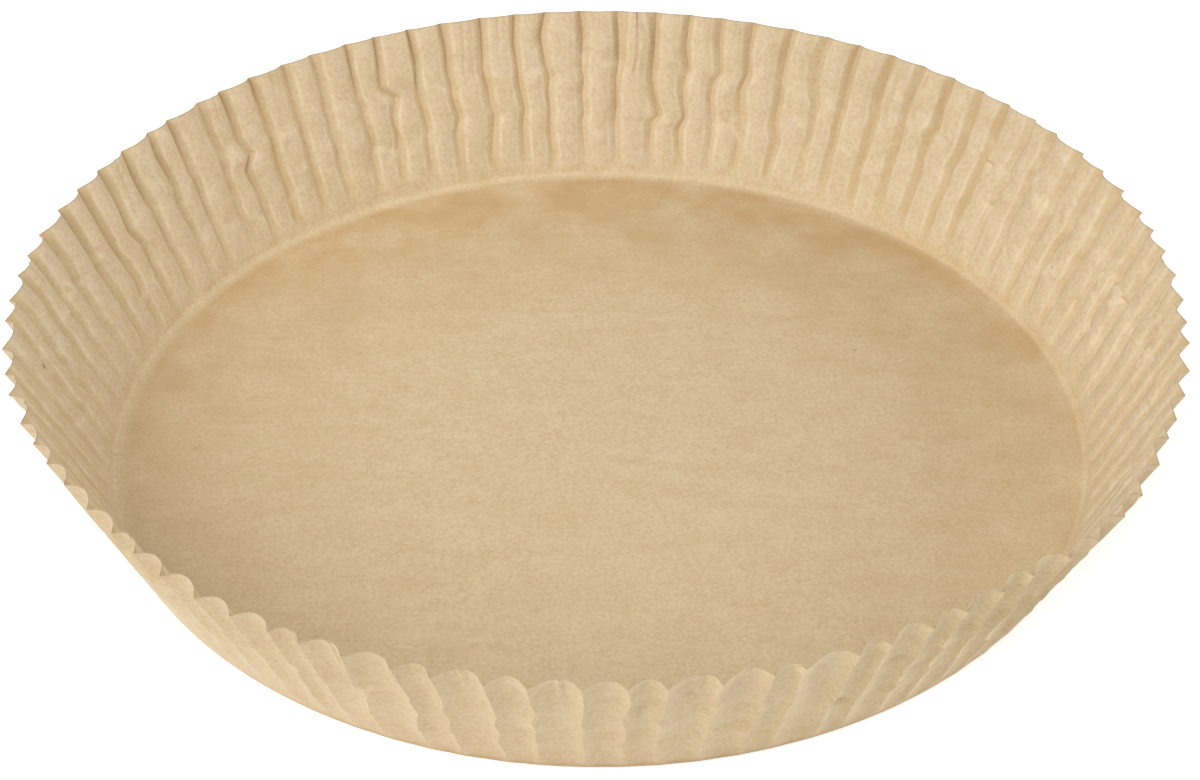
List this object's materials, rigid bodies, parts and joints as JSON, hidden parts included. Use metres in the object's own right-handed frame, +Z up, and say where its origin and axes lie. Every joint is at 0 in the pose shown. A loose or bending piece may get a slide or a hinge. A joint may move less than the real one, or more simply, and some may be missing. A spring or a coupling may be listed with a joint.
{
  "type": "air fryer paper liner",
  "caption": "Round open air fryer liner of unbleached parchment paper, pressed into a flat floor with a flared, fluted wall.",
  "frame": {"origin": "middle of the floor's underside, on the surface that the liner stands on", "axes": "+Z up along the liner's axis, out of its open mouth; X and Y lie in the floor"},
  "size_m": [0.2346, 0.2346, 0.0352],
  "materials": {
    "parchment": "satin"
  },
  "bodies": {
    "root": {"paper_liner": "parchment"}
  },
  "joints": []
}
